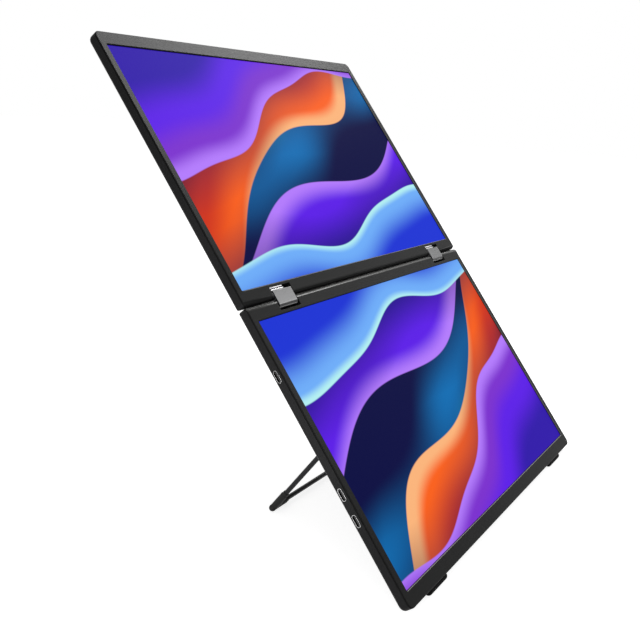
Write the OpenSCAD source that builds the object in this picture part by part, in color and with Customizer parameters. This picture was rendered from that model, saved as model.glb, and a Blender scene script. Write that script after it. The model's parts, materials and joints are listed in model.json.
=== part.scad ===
/* [Displays] */
// Thickness of each display housing
panel_t = 8.6; // [8.4:0.1:12]
// Gap between the two housings when they stand open flat
panel_gap = 0.5; // [0.4:0.1:2]
// Width of the lit picture
active_w = 344.2; // [320:0.1:380]
// Height of the lit picture
active_h = 193.6; // [186:0.1:230]
// Bezel on each side of the picture
bezel_side = 7.4; // [7:0.1:15]
// Bezel between the picture and the far edge of the housing
bezel_far = 12; // [11:0.1:16]
// Bezel between the picture and the hinge edge of the housing
bezel_hinge = 12.4; // [11.6:0.1:18]
// Black border of the picture that shows inside the bezel
black_border = 1.2; // [0.5:0.1:2]
// Rounding of the front edge on the three outer sides
front_round = 0.8; // [0.3:0.1:1]
// Bevel on the front edges of the bezel's window
window_bevel = 0.5; // [0.2:0.1:0.8]
// Height of the parting line between bezel and back cover
seam_h = 0.2; // [0.1:0.05:0.3]
// Depth of the parting line
seam_depth = 0.5; // [0.2:0.1:0.7]
// Rounding of the back edge on the three outer sides
back_round = 3; // [1:0.1:3.5]
// Rounding of both edges along the hinge side, centred on the hinge axle
hinge_round = 3.6; // [3.5:0.1:4]
// Corner radius at the far side, seen from the front
far_corner_r = 5; // [3.6:0.1:8]
// Corner radius at the hinge side, seen from the front
hinge_corner_r = 3; // [1:0.1:5]

/* [Housing walls] */
// Thickness of the front bezel
bezel_t = 1.1; // [0.9:0.05:1.2]
// Side wall of the back cover
side_wall = 1.6; // [1.2:0.1:2]
// Back wall of the back cover
back_wall = 1.2; // [1:0.1:1.4]
// Wall of the back cover around each hinge notch
notch_wall = 1; // [0.8:0.1:1.4]
// Clearance between pieces that stand beside each other in a housing
fit_gap = 0.1; // [0.05:0.05:0.2]
// Clearance of rings, ears and sleeves pressed onto a round bar
press_gap = 0.02; // [0.01:0.01:0.04]

/* [Screws] */
// Shank radius of the small screws
screw_r = 0.85; // [0.7:0.05:1]
// Clearance round the screw shanks in their threads
thread_gap = 0.05; // [0.02:0.01:0.1]
// Head radius of the small screws
screw_head_r = 1.8; // [1.4:0.1:2]
// Head height of the small screws
screw_head_t = 0.7; // [0.5:0.1:0.8]
// Distance of each screw from the edges of the piece that it holds
screw_edge = 3.5; // [3:0.1:4]
// Wall left under the tips of the bracket screws
screw_tip_wall = 0.5; // [0.3:0.1:0.7]

/* [Picture panels] */
// Thickness of the glass cell
glass_t = 1.1; // [0.8:0.05:1.2]
// Thickness of the backlight tray
backlight_t = 1.6; // [1.4:0.1:1.8]
// How far the glass reaches past the lit picture
glass_border = 2.1; // [2:0.1:2.5]
// Sheet metal thickness of the backlight tray
tray_wall = 0.4; // [0.3:0.05:0.6]

/* [Hinges] */
// Distance of each hinge's middle from the side of the housing
hinge_side = 48.5; // [45:0.5:80]
// Width of the hinge link
link_w = 23; // [20:0.5:30]
// Side clearance of the link in its notches
link_side_gap = 1.3; // [0.5:0.1:2]
// Radius of the link's eyes
eye_r = 3.1; // [2.8:0.1:3.2]
// Width of the link's upper part, the rest being open above the washers
upper_eye_w = 14.5; // [10:0.5:16]
// Radius of the knuckle that sits in the link round the upper axle
knuckle_r = 3.4; // [3.2:0.05:3.4]
// Radius of the knuckle's shoulder beyond the cover plate, from the upper axle
shoulder_r = 4.7; // [4.5:0.05:4.8]
// Clearance between the knuckle and the end wall of its notch
knuckle_gap = 0.3; // [0.2:0.1:0.5]
// Radius of the hinge axles
axle_r = 1.3; // [1:0.05:1.5]
// Radial running clearance of the axles in the eyes
axle_gap = 0.05; // [0.02:0.01:0.08]
// How far the link's cover plate stands proud of the bezels
plate_proud = 0.3; // [0.1:0.05:0.5]
// Thickness of the link's cover plate
plate_t = 1.2; // [0.9:0.05:1.3]
// How far the cover plate reaches past the upper axle
plate_end = 2; // [0.4:0.1:2.4]
// Radius of the cover plate's rolled lower end
nose_r = 3.2; // [2.5:0.1:3.3]
// Clearance between the swinging link and the end of each notch
notch_end_gap = 0.4; // [0.3:0.1:0.8]
// Clearance under the link's eyes in each notch
notch_floor_gap = 0.3; // [0.3:0.05:0.4]
// Radius of the bracket ears round the axle ends
ear_r = 2; // [1.8:0.1:2.1]
// Thickness of the bracket ears
ear_t = 2.4; // [1.5:0.1:3]
// Thickness of the bracket leaf
leaf_t = 1; // [0.8:0.1:1.2]
// Width of the bracket leaf
leaf_w = 52; // [44:1:70]
// Reach of the bracket leaf into the housing, from the end of the notch
leaf_reach = 17; // [12:1:25]
// Height of the pad that carries the bracket leaf
pad_h = 0.5; // [0.3:0.1:0.6]
// Thickness of the link's web between its two eyes
web_t = 4.6; // [4:0.1:5]
// Clearance between the web and the washers beside it
washer_clear = 0.4; // [0.3:0.1:0.8]
// Number of friction washers beside each upper eye
washer_count = 5; // [3:1:6]
// Thickness of one friction washer
washer_t = 0.9; // [0.5:0.1:1]
// Radius of the friction washers
washer_r = 2.3; // [2:0.1:2.4]
// Thickness of the retaining rings on the axle ends
ring_t = 0.8; // [0.5:0.1:1]

/* [Stand] */
// Distance of each leg's centre line from the side of the housing
stand_side = 75; // [72:0.5:95]
// Length of the legs, from the pivot to the middle of the crossbar
stand_leg = 117.5; // [80:0.5:117.5]
// Height of the pivot above the lower edge of the housing
pivot_y = 124; // [124:0.5:150]
// Angle that the legs swing out from the back
stand_angle = 74; // [60:1:80]
// Diameter of the stand's rod
rod_d = 3.8; // [3:0.1:4]
// Bend radius of the rod at the lower corners
corner_bend_r = 4; // [3.5:0.5:12]
// Bend radius of the rod at the pivots
pivot_bend_r = 5; // [4:0.5:7]
// Length of the straight pivot end of the rod
stub_l = 13; // [11:0.5:18]
// Depth of the rod's centre line inside the back face when folded
rod_sink = 0.6; // [0.3:0.1:0.8]
// Clearance round the folded rod in its groove
groove_gap = 0.3; // [0.2:0.05:0.5]
// Wall under the groove
groove_wall = 0.7; // [0.6:0.05:0.8]
// Wall of the rubber sleeves on the lower corners
sleeve_t = 0.9; // [0.5:0.1:1]
// Length of the sleeve's arms, from the corner to their tapers
sleeve_arm = 15; // [14:0.5:20]
// Length of the taper at the end of each arm
sleeve_taper = 3; // [1:0.5:4]
// Wall of the sleeve at the thin end of its taper
sleeve_lip = 0.4; // [0.3:0.1:0.5]
// How far the sleeve's toe reaches past the corner, along and across
sleeve_toe = 1.2; // [0.5:0.1:1.5]
// Width of the pivot clamps
clamp_w = 10; // [8:0.5:11]
// Length of the pivot clamps along the leg
clamp_l = 15; // [14:0.5:22]
// Wall of the clamp over the rod
clamp_wall = 1; // [0.8:0.1:1.4]
// Radial running clearance of the rod in its clamps
rod_gap = 0.05; // [0.02:0.01:0.08]
// Clearance between the leg and its stop when the stand is open
stop_gap = 0.3; // [0.2:0.05:0.5]
// Length of the stop along the leg
stop_l = 5.5; // [4:0.5:6]
// Height of the stop above the rod's centre line
stop_h = 3.4; // [2.5:0.1:5]

/* [Sockets and feet] */
// Height of the lowest socket above the lower edge
usb_low_y = 64; // [50:0.5:70]
// Distance between the two lower sockets
usb_pitch = 18.7; // [14:0.1:24]
// Distance of the upper socket from the hinge edge
usb_high_drop = 49.5; // [40:0.5:68]
// Depth of the sockets' middle behind the front face
usb_sink = 4.6; // [4:0.1:4.8]
// Length of the socket shell's mouth
usb_l = 8.94; // [8.8:0.01:9.1]
// Height of the socket shell's mouth
usb_h = 3.26; // [3.2:0.01:3.4]
// Sheet thickness of the socket shell
usb_sheet = 0.3; // [0.2:0.05:0.35]
// Depth of the socket shell
usb_depth = 4.5; // [4:0.1:4.6]
// Thickness of the socket's tongue
tongue_t = 0.7; // [0.6:0.05:0.8]
// Width of the socket's tongue
tongue_w = 6.7; // [6:0.1:7]
// Depth of the tongue's tip behind the mouth
tongue_sink = 0.8; // [0.5:0.1:1.2]
// Clearance round the sockets in the side wall
usb_gap = 0.15; // [0.1:0.05:0.3]
// Thickness of the circuit boards
board_t = 0.8; // [0.6:0.1:0.9]
// Clearance between the main board and the walls beside it
board_clear = 0.8; // [0.4:0.1:2]
// How far the main board reaches past the sockets' middles, down and up
board_reach = 12.5; // [10:0.5:20]
// Width of the upper display's board
panel_board_w = 120; // [60:1:150]
// Height of the upper display's board
panel_board_h = 30; // [20:1:40]
// Distance from the upper display's board to the hinge edge
panel_board_y = 40; // [36:1:60]
// Side of the larger chips
chip_w = 13; // [8:0.5:16]
// Height of the chips
chip_t = 1.2; // [0.8:0.1:1.4]
// Radius of the pads that carry the boards
board_pad_r = 2.2; // [1.5:0.1:3]
// Distance of each foot's middle from the side of the housing
foot_side = 45; // [24:0.5:60]
// Length of each foot
foot_l = 30; // [20:1:40]
// Radius of the foot's rounded sole
foot_r = 2.8; // [2.4:0.1:2.8]
// How far the feet stand proud of the lower edge
foot_proud = 3.5; // [2:0.1:3.6]
// Depth of the feet's middle behind the front face
foot_sink = 4.1; // [4.1:0.1:4.6]
// Depth of the feet's seats in the lower edge
foot_seat = 1; // [0.5:0.1:1.2]
// Clearance round the feet in their seats
seat_gap = 0.05; // [0.02:0.01:0.1]

/* [Hidden] */
$fn = 48;
eps = 0.01;
sides = [-1, 1];

// Each display is drawn flat: x across, y from the far edge to the hinge edge, z out of the screen.
panel_w = active_w + 2 * bezel_side;
panel_h = bezel_far + active_h + bezel_hinge;
hinge_line = panel_h + panel_gap / 2;
hinge_x = panel_w / 2 - hinge_side;
stand_span = panel_w - 2 * stand_side;
foot_x = panel_w / 2 - foot_side;
usb_high_y = panel_h - usb_high_drop;
axis_y = panel_h - hinge_round;
axis_z = -hinge_round;
floor_z = -panel_t + back_wall;
window_w = active_w + 2 * black_border;
window_h = active_h + 2 * black_border;
window_y = bezel_far - black_border;
glass_w = active_w + 2 * glass_border;
glass_h = active_h + 2 * glass_border;
glass_y = bezel_far - glass_border;
tray_z = -bezel_t - glass_t;
tray_back_z = tray_z - backlight_t;

notch_w = link_w + 2 * link_side_gap;
sweep_r = max(shoulder_r, norm([plate_end, hinge_round + plate_proud]));
notch_y = axis_y - sweep_r - notch_end_gap;
notch_floor_z = axis_z - max(eye_r, knuckle_r) - notch_floor_gap;
ear_x = notch_w / 2 + notch_wall + fit_gap;
axle_l = 2 * (ear_x + ear_t + ring_t + fit_gap);
leaf_z = floor_z + pad_h;

rod_r = rod_d / 2;
rod_z = -panel_t + rod_sink;
sleeve_r = rod_r + sleeve_t;
sleeve_seat_r = rod_r + press_gap;
toe_r = sleeve_r - fit_gap / 2;
room_step = 0.05;
stub_x = stand_span / 2 - pivot_bend_r;
clamp_x = stub_x - stub_l / 2;

usb_y = [usb_low_y, usb_low_y + usb_pitch, usb_high_y];
usb_z = -usb_sink;
board_z = usb_z - usb_h / 2;

foot_y = foot_r - foot_proud;
foot_z = -foot_sink;
toe_y = pivot_y - (stand_leg + sleeve_toe) * cos(stand_angle);
toe_z = rod_z - (stand_leg + sleeve_toe) * sin(stand_angle);

// The whole object leans back until the feet and the toes of the stand's sleeves touch the ground.
reach_y = toe_y - foot_y;
reach_z = foot_z - toe_z;
lean = acos((toe_r - foot_r) / norm([reach_y, reach_z])) - atan2(reach_z, reach_y);
function row_y(y, z) = sin(lean) * y - cos(lean) * z;
function row_z(y, z) = cos(lean) * y + sin(lean) * z;
front_y = row_y(front_round, -front_round) - front_round;
rear_y = row_y(2 * hinge_line - back_round, back_round - panel_t) + back_round;
ground_z = row_z(foot_y, foot_z) - foot_r;

module stand_up() {
  translate([0, -(front_y + rear_y) / 2, -ground_z]) rotate([90 - lean, 0, 0]) children();
}

module upper_side() {
  translate([0, 2 * hinge_line, 0]) mirror([0, 1, 0]) children();
}

// Runs a profile of y and z along x, centred on x = 0.
module along_x(length) {
  rotate([90, 0, 90]) linear_extrude(length, center = true) children();
}

// ---- housings

module outline(inset = 0, hinge_inset = 0) {
  half = panel_w / 2;
  far_r = far_corner_r - inset;
  near_r = max(hinge_corner_r - inset, eps);
  near_y = panel_h - hinge_inset - near_r;
  translate([-half + inset, far_corner_r]) square([2 * (half - inset), near_y - far_corner_r]);
  translate([-half + far_corner_r, inset]) square([2 * (half - far_corner_r), far_r]);
  translate([-half + inset + near_r, near_y - eps]) square([2 * (half - inset - near_r), near_r + eps]);
  for (s = sides) {
    translate([s * (half - far_corner_r), far_corner_r]) circle(far_r);
    translate([s * (half - inset - near_r), near_y]) circle(near_r);
  }
}

// Section of the slab at its outer edge, with the edge at 0 and the slab towards +x.
module edge_section(width) {
  translate([front_round, -front_round]) circle(front_round);
  translate([back_round, back_round - panel_t]) circle(back_round);
  translate([0, back_round - panel_t]) square([width, panel_t - front_round - back_round]);
  translate([front_round, -panel_t / 2]) square([width - front_round, panel_t / 2]);
  translate([back_round, -panel_t]) square([width - back_round, panel_t / 2]);
}

// Section along the hinge side, both edges rounded about the same line as the hinge axle.
module hinge_section(inset = 0, back = 0) {
  r = hinge_round - inset;
  translate([-1, back - panel_t]) square([axis_y + 1, panel_t - back + 1]);
  translate([axis_y - eps, back - panel_t + r]) square([r + eps, panel_t - back - 2 * r - inset]);
  translate([axis_y, -hinge_round]) circle(r);
  translate([axis_y, back - panel_t + r]) circle(r);
}

module slab() {
  half = panel_w / 2;
  intersection() {
    union() {
      for (s = [0, 1]) mirror([s, 0, 0]) {
        translate([-half, panel_h, 0]) rotate([90, 0, 0])
          linear_extrude(panel_h - far_corner_r) edge_section(half + eps);
        translate([-half + far_corner_r, far_corner_r, 0]) rotate([0, 0, 180])
          rotate_extrude(angle = 90) intersection() {
            translate([far_corner_r, 0]) mirror([1, 0]) edge_section(far_corner_r);
            translate([0, -panel_t]) square([far_corner_r, panel_t]);
          }
      }
      rotate([90, 0, 90]) linear_extrude(2 * (half - far_corner_r), center = true)
        edge_section(far_corner_r + eps);
    }
    translate([0, 0, -panel_t - 1]) linear_extrude(panel_t + 2) outline();
    along_x(panel_w + 2) hinge_section();
  }
}

module notch(grow = 0) {
  translate([-notch_w / 2 - grow, notch_y - grow, notch_floor_z - grow])
    cube([notch_w + 2 * grow, panel_h - notch_y + grow + 1, -notch_floor_z + grow + 1]);
}

module at_hinges() {
  for (s = sides) translate([s * hinge_x, 0, 0]) children();
}

module leaf_outline() {
  difference() {
    translate([-leaf_w / 2, leaf_y]) square([leaf_w, axis_y - leaf_y]);
    translate([-ear_x, leaf_y + leaf_reach]) square([2 * ear_x, panel_h]);
  }
}

leaf_y = notch_y - notch_wall - fit_gap - leaf_reach;
leaf_screws = [for (s = sides, y = [leaf_y + screw_edge, axis_y - screw_edge])
               [s * (leaf_w / 2 - screw_edge), y]];
screw_tip_z = -panel_t + screw_tip_wall;

module back_cover() {
  difference() {
    slab();
    translate([-panel_w, -panel_w, -bezel_t]) cube([2 * panel_w, 3 * panel_w, panel_t]);
    difference() {
      intersection() {
        translate([0, 0, floor_z]) linear_extrude(panel_t) outline(side_wall, hinge_round - ear_r - fit_gap);
        along_x(panel_w) hinge_section(hinge_round - ear_r - fit_gap, back_wall);
      }
      at_hinges() {
        notch(notch_wall);
        translate([0, 0, floor_z - eps]) linear_extrude(pad_h + eps) leaf_outline();
      }
      children(0);
    }
    at_hinges() {
      notch();
      translate([0, axis_y, axis_z]) rotate([0, 90, 0])
        cylinder(h = notch_w + 2 * notch_wall + 2 * fit_gap, r = axle_r + fit_gap, center = true);
      for (p = leaf_screws) translate([p.x, p.y, screw_tip_z - thread_gap])
        cylinder(h = panel_t / 2, r = screw_r + thread_gap);
    }
    if ($children > 1) children(1);
  }
}

module front_bezel() {
  difference() {
    intersection() {
      slab();
      translate([-panel_w, -panel_w, -bezel_t]) cube([2 * panel_w, 3 * panel_w, panel_t]);
    }
    translate([-window_w / 2, window_y, -panel_t]) cube([window_w, window_h, 2 * panel_t]);
    for (s = sides) {
      translate([s * window_w / 2, window_y + window_h / 2, 0]) rotate([90, 0, 0]) window_edge(window_h);
      translate([0, window_y + (s + 1) * window_h / 2, 0]) rotate([90, 0, 90]) window_edge(window_w);
    }
    translate([0, 0, -bezel_t - eps]) linear_extrude(seam_h + eps) difference() {
      translate([-panel_w, -panel_w]) square([2 * panel_w, panel_w + axis_y]);
      outline(seam_depth);
    }
    at_hinges() notch();
  }
}

// Diamond that bevels a window edge, centred on the edge.
module window_edge(length) {
  linear_extrude(length, center = true) rotate(45) square(sqrt(2) * window_bevel, center = true);
}

module glass() {
  translate([-glass_w / 2, glass_y, tray_z]) cube([glass_w, glass_h, glass_t]);
}

module backlight_tray() {
  difference() {
    translate([-glass_w / 2, glass_y, tray_back_z]) cube([glass_w, glass_h, backlight_t]);
    translate([-glass_w / 2 + tray_wall, glass_y + tray_wall, tray_back_z + tray_wall])
      cube([glass_w - 2 * tray_wall, glass_h - 2 * tray_wall, backlight_t]);
  }
}

module light_guide() {
  inset = tray_wall + fit_gap;
  translate([-glass_w / 2 + inset, glass_y + inset, tray_back_z + tray_wall])
    cube([glass_w - 2 * inset, glass_h - 2 * inset, backlight_t - tray_wall - fit_gap]);
}

// ---- stand

// Runs a profile of the rod along its bent line, folded flat, with the pivot at the origin.
module rod_path() {
  half = stand_span / 2;
  leg_end = stand_leg - corner_bend_r;
  for (s = [0, 1]) mirror([s, 0, 0]) {
    translate([stub_x - stub_l / 2, 0, 0]) along_x(stub_l) children();
    translate([stub_x, -pivot_bend_r, 0]) rotate_extrude(angle = 90)
      translate([pivot_bend_r, 0]) children();
    translate([half, -pivot_bend_r, 0]) rotate([90, 0, 0])
      linear_extrude(leg_end - pivot_bend_r) children();
    corner_bend() children();
  }
  translate([0, -stand_leg, 0]) along_x(stand_span - 2 * corner_bend_r) children();
}

module corner_bend() {
  translate([stand_span / 2 - corner_bend_r, corner_bend_r - stand_leg, 0]) rotate([0, 0, -90])
    rotate_extrude(angle = 90) intersection() {
      translate([corner_bend_r, 0]) children();
      translate([0, -2 * panel_t]) square(4 * panel_t);
    }
}

module at_corner() {
  translate([stand_span / 2, -stand_leg, 0]) children();
}

// Arms of the right-hand corner sleeve, each starting at the corner, with children as their profile.
module sleeve_arms(length) {
  at_corner() {
    rotate([90, 0, 0]) translate([0, 0, -length]) linear_extrude(length) children();
    translate([-length / 2, 0, 0]) along_x(length) children();
  }
}

// Room of the folded sleeve in the back cover, open to the back, with a flat floor round the corner.
module sleeve_room(r) {
  bend_offset = corner_bend_r * (1 - cos(45));
  sleeve_arms(sleeve_arm + sleeve_taper) groove_profile(r);
  at_corner() for (d = [-bend_offset, sleeve_toe]) translate([d, -d, -panel_t])
    cylinder(h = panel_t + r + room_step, r = r);
}

module folded_in_place() {
  translate([0, pivot_y, rod_z]) children();
}

module opened() {
  translate([0, pivot_y, rod_z]) rotate([stand_angle, 0, 0]) children();
}

module groove_profile(r) {
  circle(r);
  translate([-r, -panel_t]) square([2 * r, panel_t]);
}

clamp_base_z = rod_z + rod_r + clamp_wall / 2;
clamp_near = rod_r + clamp_wall;
stop_w = stand_span / 2 + rod_r - clamp_x;
clamp_screw_y = clamp_l - clamp_near - screw_edge;

module clamp_pocket(grow = 0) {
  for (s = sides) translate([s * clamp_x, pivot_y, 0])
    translate([-clamp_w / 2 - grow, -clamp_near - grow, -2 * panel_t])
      cube([clamp_w + 2 * grow, clamp_l + 2 * grow, 2 * panel_t + clamp_base_z + grow]);
}

module groove(grow = 0) {
  swing_room = pivot_bend_r + rod_r + groove_gap + grow;
  folded_in_place() {
    rod_path() groove_profile(rod_r + groove_gap + grow);
    for (s = sides) translate([s * stub_x, 0, 0]) along_x(2 * swing_room)
      groove_profile(rod_r + groove_gap + grow);
    for (s = [0, 1]) mirror([s, 0, 0]) sleeve_room(sleeve_r + groove_gap + grow);
  }
  clamp_pocket(fit_gap + grow);
}

// Right-hand pivot clamp, with the stop that holds the leg when the stand is open.
module clamp() {
  translate([0, pivot_y, 0]) difference() {
    union() {
      translate([clamp_x - clamp_w / 2, -clamp_near, -panel_t - fit_gap])
        cube([clamp_w, clamp_l, panel_t + fit_gap + clamp_base_z]);
      translate([clamp_x, 0, rod_z]) along_x(clamp_w) intersection() {
        circle(rod_r + clamp_wall);
        translate([-clamp_near, -panel_t]) square([2 * clamp_near, panel_t + clamp_base_z - rod_z]);
      }
      translate([0, 0, rod_z]) intersection() {
        rotate([stand_angle, 0, 0])
          translate([clamp_x, -panel_t, -rod_r - stop_gap - panel_t]) cube([stop_w, 2 * panel_t, panel_t]);
        translate([clamp_x, 0, -stop_h]) cube([stop_w, stop_l, stop_h - rod_sink - fit_gap]);
      }
    }
    translate([clamp_x, 0, rod_z]) rotate([0, 90, 0])
      cylinder(h = clamp_w + 2, r = rod_r + rod_gap, center = true);
    translate([clamp_x, clamp_screw_y, -2 * panel_t]) cylinder(h = 3 * panel_t, r = screw_r + fit_gap);
  }
}

module clamp_screw() {
  translate([clamp_x, pivot_y + clamp_screw_y, 0]) {
    translate([0, 0, -panel_t - fit_gap - screw_head_t]) cylinder(h = screw_head_t, r = screw_head_r);
    translate([0, 0, -panel_t - fit_gap - eps])
      cylinder(h = panel_t + clamp_base_z + groove_wall + eps, r = screw_r);
  }
}

// ---- sockets, feet and boards

module usb_mouth(grow = 0) {
  r = usb_h / 2 + grow;
  for (s = sides) translate([s * (usb_l - usb_h) / 2, 0]) circle(r);
  square([usb_l - usb_h, 2 * r], center = true);
}

module at_socket(y) {
  translate([-panel_w / 2, y, usb_z]) children();
}

module usb_shell(y) {
  at_socket(y) difference() {
    translate([fit_gap + usb_depth / 2, 0, 0]) along_x(usb_depth) usb_mouth();
    translate([fit_gap + usb_depth / 2 - usb_sheet, 0, 0]) along_x(usb_depth) usb_mouth(-usb_sheet);
  }
}

module usb_tongue(y) {
  tongue_l = usb_depth - usb_sheet - tongue_sink;
  at_socket(y) translate([fit_gap + tongue_sink, -tongue_w / 2, -tongue_t / 2])
    cube([tongue_l, tongue_w, tongue_t]);
}

module foot(x, grow = 0) {
  straight = foot_l - 2 * foot_r;
  intersection() {
    translate([x, foot_y, foot_z]) {
      along_x(straight) circle(foot_r + grow);
      for (s = sides) translate([s * straight / 2, 0, 0]) sphere(foot_r + grow);
    }
    translate([x - foot_l, -panel_t, -panel_t]) cube([2 * foot_l, panel_t + foot_seat + grow, panel_t]);
  }
}

board_x = -panel_w / 2 + side_wall + board_clear;
board_w = -stand_span / 2 - sleeve_r - groove_gap - groove_wall - board_clear - board_x;
board_y = usb_low_y - board_reach;
board_h = usb_high_y + board_reach - board_y;
main_board_at = [board_x, board_y, board_w, board_h];
panel_board_at = [-panel_board_w / 2, panel_h - panel_board_y - panel_board_h, panel_board_w, panel_board_h];

module board(at) {
  translate([at[0], at[1], board_z - board_t]) cube([at[2], at[3], board_t]);
}

module board_pads(at) {
  inset = 2 * board_pad_r;
  for (x = [at[0] + inset, at[0] + at[2] - inset], y = [at[1] + inset, at[1] + at[3] - inset])
    translate([x, y, floor_z - eps]) cylinder(h = board_z - board_t - floor_z + eps, r = board_pad_r);
}

module chip(x, y, w, h) {
  translate([x, y, board_z]) cube([w, h, chip_t]);
}

// ---- hinges

upper_axis_y = 2 * hinge_line - axis_y;
ear_foot_y = glass_y + glass_h + 3 * fit_gap;

module link() {
  plate_under = plate_proud - plate_t;
  washer_room = washer_r + washer_clear;
  difference() {
    union() {
      along_x(link_w) {
        translate([axis_y, axis_z]) circle(eye_r);
        translate([axis_y, plate_proud - nose_r]) circle(nose_r);
        translate([axis_y, plate_under]) square([upper_axis_y + plate_end - axis_y, plate_t]);
        translate([axis_y, axis_z - web_t / 2])
          square([upper_axis_y - washer_room - axis_y, plate_under - axis_z + web_t / 2 + eps]);
      }
      translate([(upper_eye_w - link_w) / 2, 0, 0]) along_x(upper_eye_w)
        translate([axis_y, axis_z - web_t / 2])
          square([upper_axis_y - axis_y, plate_under - axis_z + web_t / 2 + eps]);
    }
    translate([0, axis_y, axis_z]) rotate([0, 90, 0])
      cylinder(h = link_w + 2, r = axle_r + axle_gap, center = true);
    knuckle_body(knuckle_r + press_gap, press_gap);
  }
}

knuckle_x = knuckle_gap - notch_w / 2;
knuckle_end = upper_eye_w - link_w / 2;

module knuckle_body(r, grow = 0) {
  translate([knuckle_x - grow, upper_axis_y, axis_z]) rotate([0, 90, 0])
    cylinder(h = knuckle_end - knuckle_x + 2 * grow, r = r);
}

// Round barrel with a shoulder that rises beside the end of the cover plate.
module knuckle_profile() {
  shoulder_y = plate_end + press_gap;
  circle(knuckle_r);
  intersection() {
    translate([shoulder_y, 0]) square([knuckle_r - room_step - shoulder_y, -axis_z]);
    circle(shoulder_r);
  }
}

// Barrel that sits in the link's saddle and carries the upper axle.
module knuckle() {
  difference() {
    translate([(knuckle_x + knuckle_end) / 2, 0, 0]) along_x(knuckle_end - knuckle_x)
      translate([upper_axis_y, axis_z]) knuckle_profile();
    knuckle_body(axle_r + axle_gap, 1);
  }
}

module bracket() {
  translate([0, 0, leaf_z]) linear_extrude(leaf_t) difference() {
    leaf_outline();
    for (p = leaf_screws) translate(p) circle(screw_r + fit_gap);
  }
  for (s = sides) translate([s * (ear_x + ear_t / 2), 0, 0]) difference() {
    along_x(ear_t) {
      translate([axis_y, axis_z]) circle(ear_r);
      translate([ear_foot_y, leaf_z]) square([axis_y - ear_foot_y, axis_z - leaf_z]);
    }
    translate([0, axis_y, axis_z]) rotate([0, 90, 0])
      cylinder(h = 2 * ear_t, r = axle_r + press_gap, center = true);
  }
}

module axle() {
  translate([0, axis_y, axis_z]) rotate([0, 90, 0]) cylinder(h = axle_l, r = axle_r, center = true);
}

module axle_rings() {
  at_hinges() for (s = sides) translate([s * (axle_l - ring_t) / 2, axis_y, axis_z]) rotate([0, 90, 0])
    difference() {
      cylinder(h = ring_t, r = ear_r - fit_gap, center = true);
      cylinder(h = 2 * ring_t, r = axle_r + press_gap, center = true);
    }
}

module bracket_screws() {
  at_hinges() for (p = leaf_screws) translate([p.x, p.y, 0]) {
    translate([0, 0, leaf_z + leaf_t]) cylinder(h = screw_head_t, r = screw_head_r);
    translate([0, 0, screw_tip_z]) cylinder(h = leaf_z + leaf_t - screw_tip_z + eps, r = screw_r);
  }
}

// ---- sub-parts in their places

shell_colour = [0.17, 0.17, 0.18];
bezel_colour = [0.22, 0.22, 0.23];
steel_colour = [0.62, 0.62, 0.64];
rubber_colour = [0.08, 0.08, 0.08];
board_colour = [0.05, 0.25, 0.14];

module lower_back_cover() {
  color(shell_colour) stand_up() back_cover() {
    union() {
      groove(groove_wall);
      board_pads(main_board_at);
    }
    union() {
      groove();
      for (y = usb_y) at_socket(y) along_x(4 * side_wall) usb_mouth(usb_gap);
      for (s = sides) foot(s * foot_x, seat_gap);
      for (s = sides) translate([s * clamp_x, pivot_y + clamp_screw_y, clamp_base_z])
        cylinder(h = groove_wall + thread_gap, r = screw_r + thread_gap);
    }
  }
}

module lower_front_bezel() {
  color(bezel_colour) stand_up() front_bezel();
}

module lower_glass() {
  color([0.1, 0.2, 0.6]) stand_up() glass();
}

module lower_backlight_tray() {
  color(steel_colour) stand_up() backlight_tray();
}

module lower_light_guide() {
  color("white") stand_up() light_guide();
}

module main_board() {
  color(board_colour) stand_up() board(main_board_at);
}

module main_board_chips() {
  color("black") stand_up() {
    for (y = [board_y + board_h / 2, usb_high_y - 2 * chip_w]) chip(board_x + board_w / 3, y, chip_w, chip_w);
    chip(board_x + board_w / 2, usb_low_y, chip_w / 2, chip_w);
  }
}

module usb_shell_low() {
  color(steel_colour) stand_up() usb_shell(usb_y[0]);
}

module usb_shell_middle() {
  color(steel_colour) stand_up() usb_shell(usb_y[1]);
}

module usb_shell_high() {
  color(steel_colour) stand_up() usb_shell(usb_y[2]);
}

module usb_tongues() {
  color("black") stand_up() for (y = usb_y) usb_tongue(y);
}

module foot_left() {
  color(rubber_colour) stand_up() foot(-foot_x);
}

module foot_right() {
  color(rubber_colour) stand_up() foot(foot_x);
}

module lower_bracket_left() {
  color(steel_colour) stand_up() translate([-hinge_x, 0, 0]) bracket();
}

module lower_bracket_right() {
  color(steel_colour) stand_up() translate([hinge_x, 0, 0]) bracket();
}

module lower_axle_left() {
  color(steel_colour) stand_up() translate([-hinge_x, 0, 0]) axle();
}

module lower_axle_right() {
  color(steel_colour) stand_up() translate([hinge_x, 0, 0]) axle();
}

module lower_axle_rings() {
  color(steel_colour) stand_up() axle_rings();
}

module lower_bracket_screws() {
  color(steel_colour) stand_up() bracket_screws();
}

module clamp_left() {
  color(shell_colour) stand_up() mirror([1, 0, 0]) clamp();
}

module clamp_right() {
  color(shell_colour) stand_up() clamp();
}

module clamp_screws() {
  color(steel_colour) stand_up() for (s = [0, 1]) mirror([s, 0, 0]) clamp_screw();
}

module link_left() {
  color(steel_colour) stand_up() translate([-hinge_x, 0, 0]) link();
}

module link_right() {
  color(steel_colour) stand_up() translate([hinge_x, 0, 0]) link();
}

module knuckle_left() {
  color(steel_colour) stand_up() translate([-hinge_x, 0, 0]) knuckle();
}

module knuckle_right() {
  color(steel_colour) stand_up() translate([hinge_x, 0, 0]) knuckle();
}

module upper_back_cover() {
  color(shell_colour) stand_up() upper_side() back_cover() board_pads(panel_board_at);
}

module upper_front_bezel() {
  color(bezel_colour) stand_up() upper_side() front_bezel();
}

module upper_glass() {
  color([0.1, 0.2, 0.6]) stand_up() upper_side() glass();
}

module upper_backlight_tray() {
  color(steel_colour) stand_up() upper_side() backlight_tray();
}

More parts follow.
